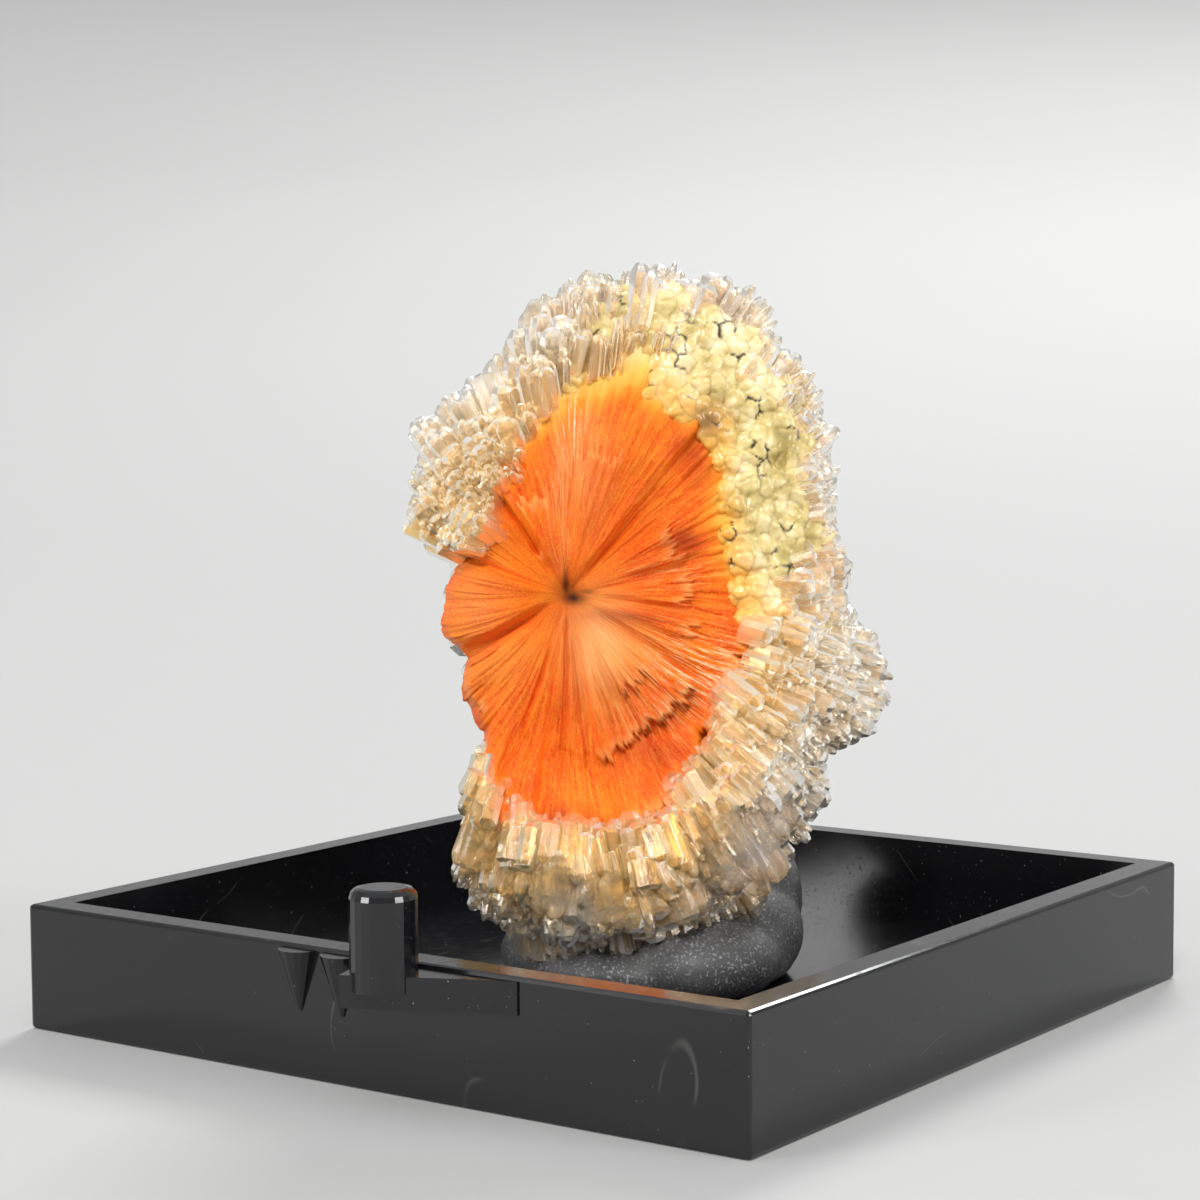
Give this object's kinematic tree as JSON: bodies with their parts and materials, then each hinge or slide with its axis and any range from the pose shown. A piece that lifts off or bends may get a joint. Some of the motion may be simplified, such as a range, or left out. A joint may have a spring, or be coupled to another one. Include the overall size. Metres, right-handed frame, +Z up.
{
  "type": "scolecite specimen in a display tray",
  "caption": "Broken half ball of orange radiating scolecite with a crust of clear crystal ends, held upright by putty in a small square tray.",
  "frame": {"origin": "middle of the tray's underside", "axes": "+Z up; X and Y along the tray's sides, with the broken hinge ear on the -Y side; the specimen's broken face looks out about 35 degrees round from -Y towards +X"},
  "size_m": [0.04, 0.0431, 0.0357],
  "materials": {
    "tray": "glossy black polystyrene with fine scratches",
    "putty": "dull dark grey with fine sparkling grains",
    "scolecite": "silky orange fibres, glassy translucent crystal ends, waxy cream skin"
  },
  "bodies": {
    "root": {"tray": "tray", "putty": "putty", "scolecite": "scolecite"}
  },
  "joints": []
}
